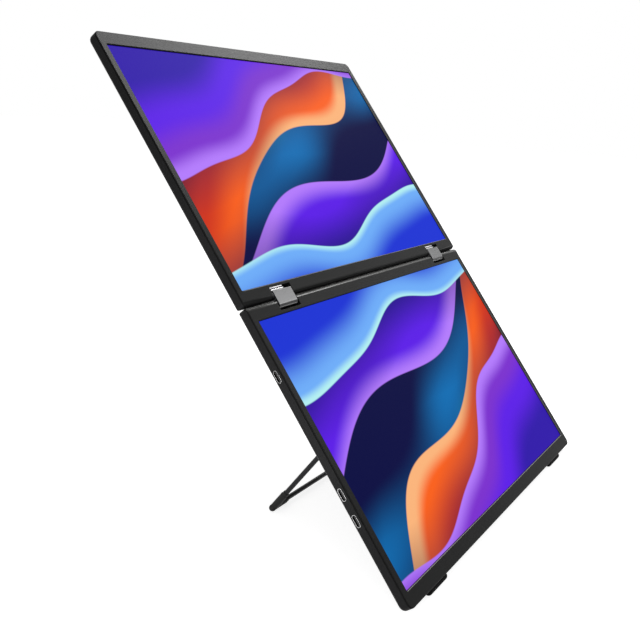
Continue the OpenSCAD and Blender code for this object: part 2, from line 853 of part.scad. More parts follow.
module upper_light_guide() {
  color("white") stand_up() upper_side() light_guide();
}

module panel_board() {
  color(board_colour) stand_up() upper_side() board(panel_board_at);
}

module panel_board_chips() {
  color("black") stand_up() upper_side() {
    for (x = [-2 * chip_w, chip_w]) chip(x, panel_board_at[1] + board_pad_r, chip_w, chip_w);
  }
}

module upper_bracket_left() {
  color(steel_colour) stand_up() upper_side() translate([-hinge_x, 0, 0]) bracket();
}

module upper_bracket_right() {
  color(steel_colour) stand_up() upper_side() translate([hinge_x, 0, 0]) bracket();
}

module upper_axle_left() {
  color(steel_colour) stand_up() upper_side() translate([-hinge_x, 0, 0]) axle();
}

module upper_axle_right() {
  color(steel_colour) stand_up() upper_side() translate([hinge_x, 0, 0]) axle();
}

module upper_axle_rings() {
  color(steel_colour) stand_up() upper_side() axle_rings();
}

module upper_bracket_screws() {
  color(steel_colour) stand_up() upper_side() bracket_screws();
}

module friction_washers() {
  first_x = upper_eye_w - link_w / 2 + fit_gap;
  color(shell_colour) stand_up() at_hinges() for (i = [0 : washer_count - 1])
    translate([first_x + (i + 0.5) * (washer_t + fit_gap), upper_axis_y, axis_z]) rotate([0, 90, 0])
      difference() {
        cylinder(h = washer_t, r = washer_r, center = true);
        cylinder(h = 2 * washer_t, r = axle_r + axle_gap, center = true);
      }
}

module axle_nuts() {
  nut_x = upper_eye_w - link_w / 2 + fit_gap + washer_count * (washer_t + fit_gap) + fit_gap;
  nut_t = notch_w / 2 - nut_x - fit_gap;
  color(shell_colour) stand_up() at_hinges()
    translate([nut_x + nut_t / 2, upper_axis_y, axis_z]) rotate([0, 90, 0]) difference() {
      cylinder(h = nut_t, r = washer_r, center = true, $fn = 6);
      cylinder(h = 2 * nut_t, r = axle_r + press_gap, center = true);
    }
}

module stand_rod() {
  color(shell_colour) stand_up() opened() rod_path() circle(rod_r);
}

module sleeve() {
  step = fit_gap / 2;
  difference() {
    union() {
      corner_bend() circle(sleeve_r - fit_gap);
      sleeve_arms(sleeve_arm) circle(sleeve_r);
      at_corner() {
        sphere(sleeve_r + step);
        translate([sleeve_toe, -sleeve_toe, 0]) sphere(toe_r);
        for (turn = [[-90, 0, 0], [0, -90, 0]]) rotate(turn) translate([0, 0, sleeve_arm - rod_r])
          cylinder(h = sleeve_taper + rod_r, r1 = sleeve_r - step, r2 = rod_r + sleeve_lip);
      }
    }
    rod_path() circle(sleeve_seat_r);
  }
}

module sleeve_left() {
  color(rubber_colour) stand_up() opened() mirror([1, 0, 0]) sleeve();
}

module sleeve_right() {
  color(rubber_colour) stand_up() opened() sleeve();
}

lower_back_cover();
lower_front_bezel();
lower_glass();
lower_backlight_tray();
lower_light_guide();
main_board();
main_board_chips();
usb_shell_low();
usb_shell_middle();
usb_shell_high();
usb_tongues();
foot_left();
foot_right();
lower_bracket_left();
lower_bracket_right();
lower_axle_left();
lower_axle_right();
lower_axle_rings();
lower_bracket_screws();
clamp_left();
clamp_right();
clamp_screws();
link_left();
link_right();
knuckle_left();
knuckle_right();
upper_back_cover();
upper_front_bezel();
upper_glass();
upper_backlight_tray();
upper_light_guide();
panel_board();
panel_board_chips();
upper_bracket_left();
upper_bracket_right();
upper_axle_left();
upper_axle_right();
upper_axle_rings();
upper_bracket_screws();
friction_washers();
axle_nuts();
stand_rod();
sleeve_left();
sleeve_right();
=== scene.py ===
import json
import math

import bmesh
import bpy
from mathutils import Matrix, Vector


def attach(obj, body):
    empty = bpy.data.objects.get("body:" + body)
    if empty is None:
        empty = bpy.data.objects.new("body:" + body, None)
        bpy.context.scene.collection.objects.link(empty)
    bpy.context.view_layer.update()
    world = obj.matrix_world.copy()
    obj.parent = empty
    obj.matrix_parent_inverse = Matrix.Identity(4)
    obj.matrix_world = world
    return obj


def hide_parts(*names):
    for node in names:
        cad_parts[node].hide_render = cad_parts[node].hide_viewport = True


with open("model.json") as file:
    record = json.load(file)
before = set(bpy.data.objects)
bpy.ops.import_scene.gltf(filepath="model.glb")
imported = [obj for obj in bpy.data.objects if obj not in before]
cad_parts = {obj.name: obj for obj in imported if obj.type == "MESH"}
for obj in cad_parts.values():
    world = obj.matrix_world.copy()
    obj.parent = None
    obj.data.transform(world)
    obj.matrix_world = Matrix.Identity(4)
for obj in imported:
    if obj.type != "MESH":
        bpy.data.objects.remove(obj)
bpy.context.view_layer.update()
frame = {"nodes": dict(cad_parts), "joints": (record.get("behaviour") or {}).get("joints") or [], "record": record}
scene = bpy.context.scene
print("frame loaded")

housing = {  # mm, as the solids are
    "width": 359.0,
    "height": 218.0,
    "gap": 0.5,
    "axleDepth": 3.6,
    "axleInset": 3.6,  # from the hinge edge
}
hingeLine = housing["height"] + housing["gap"] / 2
lowerAxle = housing["height"] - housing["axleInset"]
upperAxle = 2 * hingeLine - lowerAxle


def mm(value):
    return value / 1000


def layFlat():
    # The flat frame has x across, y up the screens and z out of them, in metres.
    mounts = {mount["name"]: mount for mount in frame["record"]["mounts"]}
    joints = {joint["name"]: joint for joint in frame["joints"]}
    _, alongY, alongZ = mounts["upper_back"]["axis"]
    lean = math.atan2(-alongZ, alongY)
    axle = Vector((0, mm(lowerAxle), -mm(housing["axleDepth"])))
    turn = Matrix.Rotation(math.pi / 2 - lean, 4, "X")
    shift = Vector(joints["link_fold"]["pos_m"]) - turn @ axle
    return Matrix.Translation(shift) @ turn


standUp = layFlat()
toFlat = standUp.inverted()
turnUp = standUp.to_3x3()
turnFlat = toFlat.to_3x3()


def startFinish(name):
    material = bpy.data.materials.new(name)
    material.use_nodes = True
    tree = material.node_tree
    coords = tree.nodes.new("ShaderNodeTexCoord").outputs["Object"]
    return material, tree, tree.nodes["Principled BSDF"], coords


def feed(tree, socket, value):
    if isinstance(value, bpy.types.NodeSocket):
        tree.links.new(value, socket)
    elif isinstance(value, (tuple, list)) and len(value) == 3 and socket.type == "RGBA":
        socket.default_value = (*value, 1)
    else:
        socket.default_value = value


def addNode(tree, kind, inputs, **settings):
    node = tree.nodes.new(kind)
    for key, value in settings.items():
        setattr(node, key, value)
    for key, value in inputs.items():
        feed(tree, node.inputs[key], value)
    return node


def calc(tree, operation, *values):
    return addNode(tree, "ShaderNodeMath", dict(enumerate(values)), operation=operation).outputs[0]


def noise(tree, coords, scale, detail=2.0, roughness=0.5):
    return addNode(tree, "ShaderNodeTexNoise", {"Vector": coords, "Scale": scale, "Detail": detail,
                                                "Roughness": roughness}).outputs["Fac"]


def spread(tree, value, low, high, start=0.3, end=0.7):
    # a noise lies mostly between 0.3 and 0.7
    return addNode(tree, "ShaderNodeMapRange", {"Value": value, "From Min": start, "From Max": end,
                                                "To Min": low, "To Max": high}).outputs["Result"]


def ramp(tree, factor, stops, interpolation="EASE"):
    node = addNode(tree, "ShaderNodeValToRGB", {"Fac": factor})
    node.color_ramp.interpolation = interpolation
    while len(node.color_ramp.elements) < len(stops):
        node.color_ramp.elements.new(0.5)
    for element, (place, colour) in zip(node.color_ramp.elements, stops):
        element.position = place
        element.color = (*colour, 1)
    return node.outputs["Color"]


def blend(tree, factor, first, second, way="MIX"):
    node = addNode(tree, "ShaderNodeMix", {}, data_type="RGBA", blend_type=way)
    for index, value in ((0, factor), (6, first), (7, second)):
        feed(tree, node.inputs[index], value)
    return node.outputs[2]


def addBump(tree, shader, height, depth):
    bump = addNode(tree, "ShaderNodeBump", {"Height": height, "Distance": mm(depth), "Strength": 1.0})
    tree.links.new(bump.outputs["Normal"], shader.inputs["Normal"])


def flatCoords(tree, coords):
    return addNode(tree, "ShaderNodeMapping", {"Vector": coords, "Location": tuple(toFlat.translation),
                                               "Rotation": tuple(toFlat.to_euler())}).outputs["Vector"]


def dimmed(colour, share):
    return [c * share for c in colour]


mouldedLook = {
    "colour": (0.0122, 0.0122, 0.0125),
    "roughness": 0.34,
    "roughSpread": (0.05, 0.06),  # less and more, with the grain
    "gloss": 0.03,  # specular level
    "grainSize": 0.42,  # mm
    "grainHeight": 0.010,  # mm
    "grainShades": (0.82, 1.2),  # darkest and lightest
    "cloudSize": 60.0,  # mm, of the slow changes in shade
    "cloudShare": 0.10,
}


def mouldedPlastic(name, **changes):
    look = {**mouldedLook, **changes}
    material, tree, shader, coords = startFinish(name)
    grain = noise(tree, coords, 1000 / look["grainSize"], 3.0, 0.6)
    cloud = noise(tree, coords, 1000 / look["cloudSize"])
    dark = dimmed(look["colour"], 1 - look["cloudShare"])
    light = dimmed(look["colour"], 1 + look["cloudShare"])
    body = ramp(tree, cloud, [(0.3, dark), (0.7, light)], "LINEAR")
    deep, high = look["grainShades"]
    speck = ramp(tree, grain, [(0.35, (deep,) * 3), (0.7, (high,) * 3)], "LINEAR")
    rough, (less, more) = look["roughness"], look["roughSpread"]
    feed(tree, shader.inputs["Base Color"], blend(tree, 1.0, body, speck, "MULTIPLY"))
    feed(tree, shader.inputs["Roughness"], spread(tree, grain, rough - less, rough + more))
    shader.inputs["Specular IOR Level"].default_value = look["gloss"]
    addBump(tree, shader, grain, look["grainHeight"])
    return material


brushedLook = {
    "lineLength": 25.0,  # mm
    "lineWidth": 0.35,  # mm
    "lineHeight": 0.003,  # mm
    "lineShades": (0.9, 1.08),
    "roughSpread": (0.04, 0.05),
}


def brushedMetal(name, colour, roughness, **changes):
    look = {**brushedLook, **changes}
    material, tree, shader, coords = startFinish(name)
    along, across = 1000 / look["lineLength"], 1000 / look["lineWidth"]
    stretched = addNode(tree, "ShaderNodeMapping", {"Vector": coords, "Scale": (along, across, across)})
    lines = noise(tree, stretched.outputs["Vector"], 1.0, 3.0)
    deep, high = look["lineShades"]
    less, more = look["roughSpread"]
    shader.inputs["Metallic"].default_value = 1.0
    shade = ramp(tree, lines, [(0.3, dimmed(colour, deep)), (0.7, dimmed(colour, high))], "LINEAR")
    feed(tree, shader.inputs["Base Color"], shade)
    feed(tree, shader.inputs["Roughness"], spread(tree, lines, roughness - less, roughness + more))
    addBump(tree, shader, lines, look["lineHeight"])
    return material


screenColours = {
    "plum": (0.20, 0.03, 0.62),
    "violet": (0.11, 0.012, 0.80),
    "lilac": (0.45, 0.20, 0.97),
    "indigo": (0.030, 0.008, 0.40),
    "foam": (0.45, 0.86, 0.88),
    "cyan": (0.03, 0.56, 0.74),
    "blue": (0.005, 0.20, 0.56),
    "navy": (0.002, 0.003, 0.055),
    "orange": (0.95, 0.12, 0.01),
    "peach": (0.96, 0.46, 0.20),
    "red": (0.62, 0.035, 0.01),
    "maroon": (0.10, 0.004, 0.006),
    "sky": (0.16, 0.42, 0.94),
    "royal": (0.012, 0.035, 0.66),
}
screenLook = {
    "width": 344.2,  # mm
    "height": 193.6,  # mm
    "farBezel": 12.0,  # mm
    "litEdge": 0.95,  # mm, lit beyond the picture on each side
    "groundSlope": (0.9, 0.7),  # across and up
    "groundStops": [(0.1, "blue"), (0.45, "cyan"), (0.75, "foam")],
    "shadowReach": 0.085,  # of each band's edge, in picture widths
    "shadowDepth": 0.45,
    "edgeSoftness": 0.0014,  # in picture widths
    "glassColour": (0.003, 0.003, 0.004),
    "glassRoughness": 0.35,
    "glassGloss": 0.003,  # specular level
}
# Bands from back to front. Each has a wavy edge: its angle, its distance from the middle in
# picture widths, its swells (height, rate, phase), its depth and its colours from the edge inwards.
screenBands = [
    {"angle": 205, "offset": -0.235, "swells": [(0.040, 6.5, 0.4), (0.010, 15.0, 2.1)], "depth": 0.36,
     "drift": 0.28, "stops": [(0.0, "foam"), (0.10, "cyan"), (0.42, "blue"), (0.85, "navy")]},
    {"angle": 26, "offset": 0.045, "swells": [(0.055, 7.2, 2.4), (0.012, 13.0, 0.2)], "depth": 0.30,
     "drift": -0.22, "stops": [(0.0, "peach"), (0.14, "orange"), (0.50, "red"), (0.95, "maroon")]},
    {"angle": 17, "offset": 0.140, "swells": [(0.045, 6.0, 0.3), (0.010, 17.0, 1.4)], "depth": 0.22,
     "drift": 0.10, "stops": [(0.0, "lilac"), (0.22, "plum"), (0.55, "violet"), (1.0, "indigo")]},
    {"angle": 196, "offset": 0.085, "swells": [(0.050, 6.8, 3.5)], "depth": 0.30,
     "drift": -0.12, "stops": [(0.0, "lilac"), (0.20, "violet"), (0.70, "indigo"), (1.0, "indigo")]},
    {"angle": 188, "offset": 0.190, "swells": [(0.030, 8.0, 1.2), (0.008, 16.0, 0.4)], "depth": 0.18,
     "drift": 0.05, "stops": [(0.0, "foam"), (0.12, "sky"), (0.60, "royal"), (1.0, "royal")]},
]


def coloured(stops):
    return [(at, screenColours[shade]) for at, shade in stops]


def weighted(tree, first, firstShare, second, secondShare, operation="ADD"):
    return calc(tree, operation, calc(tree, "MULTIPLY", first, firstShare),
                calc(tree, "MULTIPLY", second, secondShare))


def layBand(tree, picture, u, v, band):
    look = screenLook
    cosine, sine = math.cos(math.radians(band["angle"])), math.sin(math.radians(band["angle"]))
    along = weighted(tree, u, cosine, v, sine)
    across = weighted(tree, v, cosine, u, sine, "SUBTRACT")
    line = calc(tree, "SUBTRACT", across, band["offset"])
    for height, rate, phase in band["swells"]:
        swell = calc(tree, "SINE", calc(tree, "ADD", calc(tree, "MULTIPLY", along, rate), phase))
        line = calc(tree, "SUBTRACT", line, calc(tree, "MULTIPLY", swell, height))
    depth = calc(tree, "ADD", calc(tree, "DIVIDE", line, band["depth"]),
                 calc(tree, "MULTIPLY", along, band["drift"]))
    colour = ramp(tree, depth, coloured(band["stops"]))
    shadow = spread(tree, line, 0.0, look["shadowDepth"], -look["shadowReach"], 0.0)
    cover = spread(tree, line, 0.0, 1.0, -look["edgeSoftness"], look["edgeSoftness"])
    return blend(tree, cover, blend(tree, shadow, picture, screenColours["navy"]), colour)


def screenPicture(name, centreY, turned):
    look = screenLook
    material, tree, shader, coords = startFinish(name)
    size = 1000 / look["width"] * (-1 if turned else 1)
    place = addNode(tree, "ShaderNodeMapping", {"Vector": flatCoords(tree, coords), "Scale": (size,) * 3,
                                                "Location": (0, -mm(centreY) * size, 0)})
    axes = addNode(tree, "ShaderNodeSeparateXYZ", {"Vector": place.outputs["Vector"]})
    u, v = axes.outputs["X"], axes.outputs["Y"]
    ground = weighted(tree, u, look["groundSlope"][0], v, look["groundSlope"][1])
    picture = ramp(tree, calc(tree, "ADD", ground, 0.5), coloured(look["groundStops"]))
    for band in screenBands:
        picture = layBand(tree, picture, u, v, band)
    edge = look["litEdge"] / look["width"]
    tall = 0.5 * look["height"] / look["width"]
    lit = calc(tree, "MULTIPLY", calc(tree, "LESS_THAN", calc(tree, "ABSOLUTE", u), 0.5 + edge),
               calc(tree, "LESS_THAN", calc(tree, "ABSOLUTE", v), tall + edge))
    feed(tree, shader.inputs["Emission Color"], blend(tree, lit, (0, 0, 0), picture))
    feed(tree, shader.inputs["Base Color"], look["glassColour"])
    shader.inputs["Emission Strength"].default_value = 1.0
    shader.inputs["Roughness"].default_value = look["glassRoughness"]
    shader.inputs["Specular IOR Level"].default_value = look["glassGloss"]
    return material


def dress(obj, material):
    obj.data.materials.clear()
    obj.data.materials.append(material)


casingPlastic = mouldedPlastic("casingPlastic")
bezelPlastic = mouldedPlastic("bezelPlastic", colour=(0.0130, 0.0132, 0.0131))
# a lighter, glossier copy of the moulded plastic: painted highlight on the lower display's hinge edge
hingeHighlightPlastic = mouldedPlastic("hingeHighlightPlastic", colour=(0.052, 0.052, 0.050), roughness=0.22, gloss=0.09)
# a darker copy of the moulded plastic: painted shade on the outer walls and the upper display's hinge edge
shadedEdgePlastic = mouldedPlastic("shadedEdgePlastic", colour=(0.006, 0.006, 0.006), roughness=0.60, gloss=0.02)
# painted highlight on the window's bevels
chamferHighlightPlastic = mouldedPlastic("chamferHighlightPlastic", colour=(0.12, 0.12, 0.115), roughness=0.42, gloss=0.14)
softRubber = mouldedPlastic("softRubber", colour=(0.0065, 0.0065, 0.0065), roughness=0.72, gloss=0.03,
                            grainSize=0.25, grainHeight=0.006)
sleeveRubber = mouldedPlastic("sleeveRubber", colour=(0.013, 0.013, 0.013), roughness=0.50, gloss=0.12,
                              grainSize=0.25, grainHeight=0.006)
blackPaint = mouldedPlastic("blackPaint", colour=(0.007, 0.007, 0.008), roughness=0.36, gloss=0.18,
                            grainSize=0.6, grainHeight=0.004)
chipPlastic = mouldedPlastic("chipPlastic", colour=(0.012, 0.012, 0.012), roughness=0.55, gloss=0.3)
solderMask = mouldedPlastic("solderMask", colour=(0.008, 0.07, 0.03), roughness=0.3, gloss=0.5)
clearAcrylic = mouldedPlastic("clearAcrylic", colour=(0.78, 0.79, 0.80), roughness=0.2, gloss=0.5)
satinPlate = brushedMetal("satinPlate", (0.120, 0.120, 0.122), 0.30)
# a darker copy of the plate's steel: painted shade on the link's rolled end
bendShadeSteel = brushedMetal("bendShadeSteel", (0.034, 0.034, 0.035), 0.34)
# painted highlight along the lip of the link's rolled end
lipHighlight = mouldedPlastic("lipHighlight", colour=(0.50, 0.50, 0.50), roughness=0.40, gloss=0.5, grainSize=0.2)
goldPlate = brushedMetal("goldPlate", (0.20, 0.13, 0.05), 0.36, lineLength=3.0, lineWidth=0.1)
# painted highlight on the knuckle's top bar
barrelHighlightSteel = brushedMetal("barrelHighlightSteel", (0.72, 0.72, 0.73), 0.20, lineLength=6.0, lineWidth=0.2)
plainSteel = brushedMetal("plainSteel", (0.45, 0.45, 0.46), 0.34)
paleSteel = brushedMetal("paleSteel", (0.50, 0.49, 0.51), 0.42)
socketSteel = brushedMetal("socketSteel", (0.30, 0.30, 0.30), 0.38, lineLength=6.0, lineWidth=0.2)
# dark steel; inside the sockets it is also painted shade
darkSteelAndShade = brushedMetal("darkSteelAndShade", (0.10, 0.10, 0.105), 0.40)
pictureMiddle = screenLook["farBezel"] + screenLook["height"] / 2  # from a display's far edge
lowerPicture = screenPicture("lowerPicture", pictureMiddle, True)
upperPicture = screenPicture("upperPicture", 2 * hingeLine - pictureMiddle, False)

nodeFinishes = [
    ("back_cover", casingPlastic), ("front_bezel", bezelPlastic), ("backlight_tray", plainSteel),
    ("light_guide", clearAcrylic), ("chips", chipPlastic), ("board", solderMask), ("usb_shell", darkSteelAndShade),
    ("usb_tongues", chipPlastic), ("foot", softRubber), ("sleeve", sleeveRubber), ("bracket", plainSteel),
    ("rings", plainSteel), ("nuts", darkSteelAndShade), ("axle", plainSteel), ("clamp_screws", plainSteel),
    ("clamp", casingPlastic), ("link", satinPlate), ("knuckle", darkSteelAndShade), ("washers", darkSteelAndShade),
    ("stand_rod", blackPaint), ("lower_glass", lowerPicture), ("upper_glass", upperPicture),
]
for nodeName, node in frame["nodes"].items():
    dress(node, next(finish for part, finish in nodeFinishes if part in nodeName))
print("finishes made")

slotOf = {part["node"]: part["material_slot"] for part in frame["record"]["subparts"]}
bodyOf = {node: body for body, nodes in frame["record"]["behaviour"]["bodies"].items() for node in nodes}
meshCare = {
    "weld": 0.001,  # mm
    "flatWithin": 0.3,  # degrees
    "smoothBelow": 32,  # degrees
}


def mergedCopy(nodeName, joinFlat=True):
    bm = bmesh.new()
    bm.from_mesh(frame["nodes"][nodeName].data)
    bmesh.ops.remove_doubles(bm, verts=bm.verts, dist=mm(meshCare["weld"]))
    if joinFlat:
        flat = math.radians(meshCare["flatWithin"])
        bmesh.ops.dissolve_limit(bm, angle_limit=flat, verts=bm.verts, edges=bm.edges)
    return bm


def addPiece(name, bm, body, slot, material, *replacedNodes):
    bmesh.ops.dissolve_degenerate(bm, dist=mm(meshCare["weld"]), edges=bm.edges)
    mesh = bpy.data.meshes.new(name)
    bm.to_mesh(mesh)
    bm.free()
    mesh.shade_smooth()
    mesh.set_sharp_from_angle(angle=math.radians(meshCare["smoothBelow"]))
    piece = bpy.data.objects.new(name, mesh)
    scene.collection.objects.link(piece)
    dress(piece, material)
    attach(piece, body)
    if replacedNodes:
        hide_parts(*replacedNodes)
    return piece


def paintFaces(piece, material, chosen):
    # chosen gets a face's centre and normal in the flat frame
    piece.data.materials.append(material)
    slot = len(piece.data.materials) - 1
    for face in piece.data.polygons:
        if chosen(toFlat @ face.center, turnFlat @ face.normal):
            face.material_index = slot


def finishedCopy(nodeName, bm):
    material = frame["nodes"][nodeName].data.materials[0]
    piece = addPiece(nodeName + "_finished", bm, bodyOf[nodeName], slotOf[nodeName], material, nodeName)
    flat = piece.modifiers.new("flatFaces", "WEIGHTED_NORMAL")
    flat.keep_sharp = True
    return piece


def bevelEdges(bm, edges, radius, segments=2):
    bmesh.ops.bevel(bm, geom=edges, offset=mm(radius), segments=segments, profile=0.5, affect="EDGES",
                    material=-1)


def sharpEdges(bm, sharpFrom):
    angle = math.radians(sharpFrom)
    return [edge for edge in bm.edges if edge.is_manifold and edge.calc_face_angle() > angle]


def breakEdges(bm, radius, sharpFrom, longFrom=0.0):
    longEdges = [edge for edge in sharpEdges(bm, sharpFrom) if edge.calc_length() > mm(longFrom)]
    bevelEdges(bm, longEdges, radius)


def addBar(bm, centre, size):
    # centre and size are in mm, in the flat frame
    place = Matrix.Translation([mm(value) for value in centre])
    scale = Matrix.Diagonal((*[mm(value) for value in size], 1))
    bmesh.ops.create_cube(bm, size=1, matrix=standUp @ place @ scale)


housingLook = {
    "edgeRadius": 0.16,  # mm
    "sharpFrom": 35,  # degrees
    "longFrom": 1.5,  # mm, shorter edges stay as they are
    "outerReach": 6.0,  # mm, in from the outline
    "wallTilt": 0.6,  # a wall's normal points forwards less than this
    "hingeReach": 4.5,  # mm, of the rounded hinge edge from the line between the displays
    "hingeSideways": 0.3,  # its normals point sideways less than this
    "lowerTurn": 9,  # degrees round that edge, where the lower display's painted highlight starts
    # where the upper display's painted shade starts, in degrees round that edge
    "upperTurn": 32,
    "hingeTurn": 100,  # degrees, where the painted highlight and shade on that edge end
}
windowLook = {  # mm
    "side": 173.3,  # from the middle
    "far": 10.8,  # from the far edge
    "hinge": 10.0,  # from the hinge edge
    "bevel": 0.5,
    "tilt": (0.3, 0.95),  # of a bevel's normal, forwards
    "down": -0.3,  # bevels that face down more than this get no painted highlight and stay dark
}


def hingeEdgeFrom(start):
    look = housingLook

    def chosen(centre, normal):
        turn = math.degrees(math.atan2(abs(normal.y), normal.z))
        near = abs(centre.y - mm(hingeLine)) < mm(look["hingeReach"])
        return near and start < turn < look["hingeTurn"] and abs(normal.x) < look["hingeSideways"]
    return chosen


def onOuterWall(centre, normal):
    reach = mm(housingLook["outerReach"])
    fromMiddle = Vector((centre.x, centre.y - mm(hingeLine)))
    nearSide = abs(centre.x) > mm(housing["width"] / 2) - reach
    nearFar = abs(fromMiddle.y) > mm(hingeLine) - reach
    outwards = fromMiddle.dot(normal.xy) > 0
    return (nearSide or nearFar) and outwards and normal.z < housingLook["wallTilt"]


def onWindowBevel(centre, normal):
    look = windowLook
    fromFar = mm(hingeLine) - abs(centre.y - mm(hingeLine))
    withinSides = abs(centre.x) < mm(look["side"] + look["bevel"])
    withinEnds = mm(look["far"] - look["bevel"]) < fromFar < mm(housing["height"] - look["hinge"])
    steep, shallow = look["tilt"]
    return withinSides and withinEnds and steep < normal.z < shallow and normal.y > look["down"]


def finishHousing(side, paintedHingeEdge, edgeStart):
    look = housingLook
    bm = mergedCopy(side + "front_bezel")
    breakEdges(bm, look["edgeRadius"], look["sharpFrom"], look["longFrom"])
    bezel = finishedCopy(side + "front_bezel", bm)
    cover = finishedCopy(side + "back_cover", mergedCopy(side + "back_cover", joinFlat=False))
    # painted highlight on the window's bevels, except those facing down
    paintFaces(bezel, chamferHighlightPlastic, onWindowBevel)
    # painted shade on the outer walls
    paintFaces(bezel, shadedEdgePlastic, onOuterWall)
    # the hinge edge gets a painted highlight on the lower display and painted shade on the upper one
    for piece in (bezel, cover):
        paintFaces(piece, paintedHingeEdge, hingeEdgeFrom(edgeStart))


finishHousing("lower_", hingeHighlightPlastic, housingLook["lowerTurn"])
finishHousing("upper_", shadedEdgePlastic, housingLook["upperTurn"])
print("housings finished")

hingeLook = {  # mm and degrees
    "middle": 131.0,
    "plateWidth": 23.0,
    "plateEdge": 0.25,
    "plateSlack": 0.01,  # of a side edge from its place
    "plateSide": 0.9,  # a side face's normal points sideways more than this
    "sharpFrom": 50,
    "sideways": 0.5,  # the normals of the bend and the bar point sideways less than this
    # turns round the rolled end, in degrees: painted shade from bendFrom, a painted highlight from lipFrom to
    # lipTo
    "bendFrom": 18,
    "lipFrom": 48,
    "lipTo": 62,
    "bendReach": (-3.3, 0.1),  # of the rolled end, from the lower axle
    "knuckleEdge": 0.12,
    "barStart": 2.5,  # of the knuckle's painted highlight bar, above the upper axle
    "barDeep": 0.5,
}


def rolledFrom(start, end):
    low, high = hingeLook["bendReach"]

    def chosen(centre, normal):
        turn = math.degrees(math.atan2(-normal.y, normal.z))
        rolled = low < centre.y * 1000 - lowerAxle < high and abs(normal.x) < hingeLook["sideways"]
        return rolled and start < turn < end
    return chosen


def facesSideways(centre, normal):
    return abs(normal.x) > hingeLook["plateSide"]


def onKnuckleBar(centre, normal):
    beyond = centre.y > mm(upperAxle + hingeLook["barStart"])
    return beyond and centre.z > -mm(hingeLook["barDeep"]) and abs(normal.x) < hingeLook["sideways"]


def onPlateSide(vertex):
    fromMiddle = abs(abs(vertex.co.x) - mm(hingeLook["middle"]))
    return abs(fromMiddle - mm(hingeLook["plateWidth"] / 2)) < mm(hingeLook["plateSlack"])


def finishHinges():
    look = hingeLook
    for side in ("left", "right"):
        bm = mergedCopy("link_" + side)
        sharp = sharpEdges(bm, look["sharpFrom"])
        bevelEdges(bm, [edge for edge in sharp if all(onPlateSide(v) for v in edge.verts)], look["plateEdge"])
        link = finishedCopy("link_" + side, bm)
        # painted shade on the rolled end
        paintFaces(link, bendShadeSteel, rolledFrom(look["bendFrom"], look["lipFrom"]))
        # painted highlight along the lip
        paintFaces(link, lipHighlight, rolledFrom(look["lipFrom"], look["lipTo"]))
        paintFaces(link, darkSteelAndShade, facesSideways)
        bm = mergedCopy("knuckle_" + side)
        breakEdges(bm, look["knuckleEdge"], look["sharpFrom"])
        # cut the knuckle where its painted highlight bar starts
        bmesh.ops.bisect_plane(bm, geom=bm.verts[:] + bm.edges[:] + bm.faces[:],
                               plane_co=standUp @ Vector((0, mm(upperAxle + look["barStart"]), 0)),
                               plane_no=turnUp @ Vector((0, 1, 0)))
        paintFaces(finishedCopy("knuckle_" + side, bm), barrelHighlightSteel, onKnuckleBar)


finishHinges()
print("hinges finished")

bracketLip = {  # mm, along the upper display from its axle
    "start": 4.05,
    "end": 5.1,
    "top": -0.35,
    "thick": 0.6,
    "left": -12.5,  # from the hinge's middle
    "right": 3.0,
    "edge": 0.12,
}


def makeBracketLips():
    look = bracketLip
    for name, middle in (("left", -hingeLook["middle"]), ("right", hingeLook["middle"])):
        bm = bmesh.new()
        centre = (middle + (look["left"] + look["right"]) / 2, upperAxle + (look["start"] + look["end"]) / 2,
                  look["top"] - look["thick"] / 2)
        addBar(bm, centre, (look["right"] - look["left"], look["end"] - look["start"], look["thick"]))
        bevelEdges(bm, bm.edges, look["edge"])
        addPiece("bracket_lip_" + name, bm, "upper_display", "steel", paleSteel)


makeBracketLips()
print("bracket lips made")

clampLook = {"edgeRadius": 0.3, "sharpFrom": 60, "longFrom": 2.0}  # mm and degrees


def finishClamps():
    for side in ("left", "right"):
        bm = mergedCopy("clamp_" + side)
        breakEdges(bm, clampLook["edgeRadius"], clampLook["sharpFrom"], clampLook["longFrom"])
        finishedCopy("clamp_" + side, bm)


finishClamps()
print("clamps finished")

sleeveLook = {
    "endClearance": 0.12,  # mm, between an arm's end and the end of its room when folded
    "endFacing": 0.99,  # an end's normal points along its arm more than this
}


def finishSleeves():
    fold = next(joint for joint in frame["joints"] if joint["name"] == "stand_fold")
    opened = Matrix.Rotation(math.radians(-fold["range_deg"][0]), 3, "X")
    alongLeg = turnUp @ opened @ Vector((0, 1, 0))
    for side, inwards in (("left", Vector((1, 0, 0))), ("right", Vector((-1, 0, 0)))):
        bm = mergedCopy("sleeve_" + side)
        for armEnd in (alongLeg, inwards):
            facing = [face for face in bm.faces if face.normal.dot(armEnd) > sleeveLook["endFacing"]]
            ends = {v for face in facing for v in face.verts}
            bmesh.ops.translate(bm, vec=armEnd * -mm(sleeveLook["endClearance"]), verts=list(ends))
        finishedCopy("sleeve_" + side, bm)


finishSleeves()
print("sleeves finished")

shellLook = {"edgeRadius": 0.05, "sharpFrom": 60, "rimFacing": -0.6}  # mm and degrees


def onShellRim(centre, normal):
    return normal.x < shellLook["rimFacing"]


def finishSocketShells():
    # Only the mouth's rim gets the bare steel; the inside keeps the dark steel as painted shade.
    for place in ("low", "middle", "high"):
        bm = mergedCopy("usb_shell_" + place)
        breakEdges(bm, shellLook["edgeRadius"], shellLook["sharpFrom"])
        paintFaces(finishedCopy("usb_shell_" + place, bm), socketSteel, onShellRim)


finishSocketShells()

contacts = {  # mm
    "sockets": (64.0, 82.7, 168.5),
    "depth": -4.6,
    "tongueHalf": 0.35,
    "count": 12,
    "pitch": 0.5,
    "width": 0.26,
    "height": 0.03,
    "start": -177.9,
    "end": -175.4,
    "edge": 0.012,
}


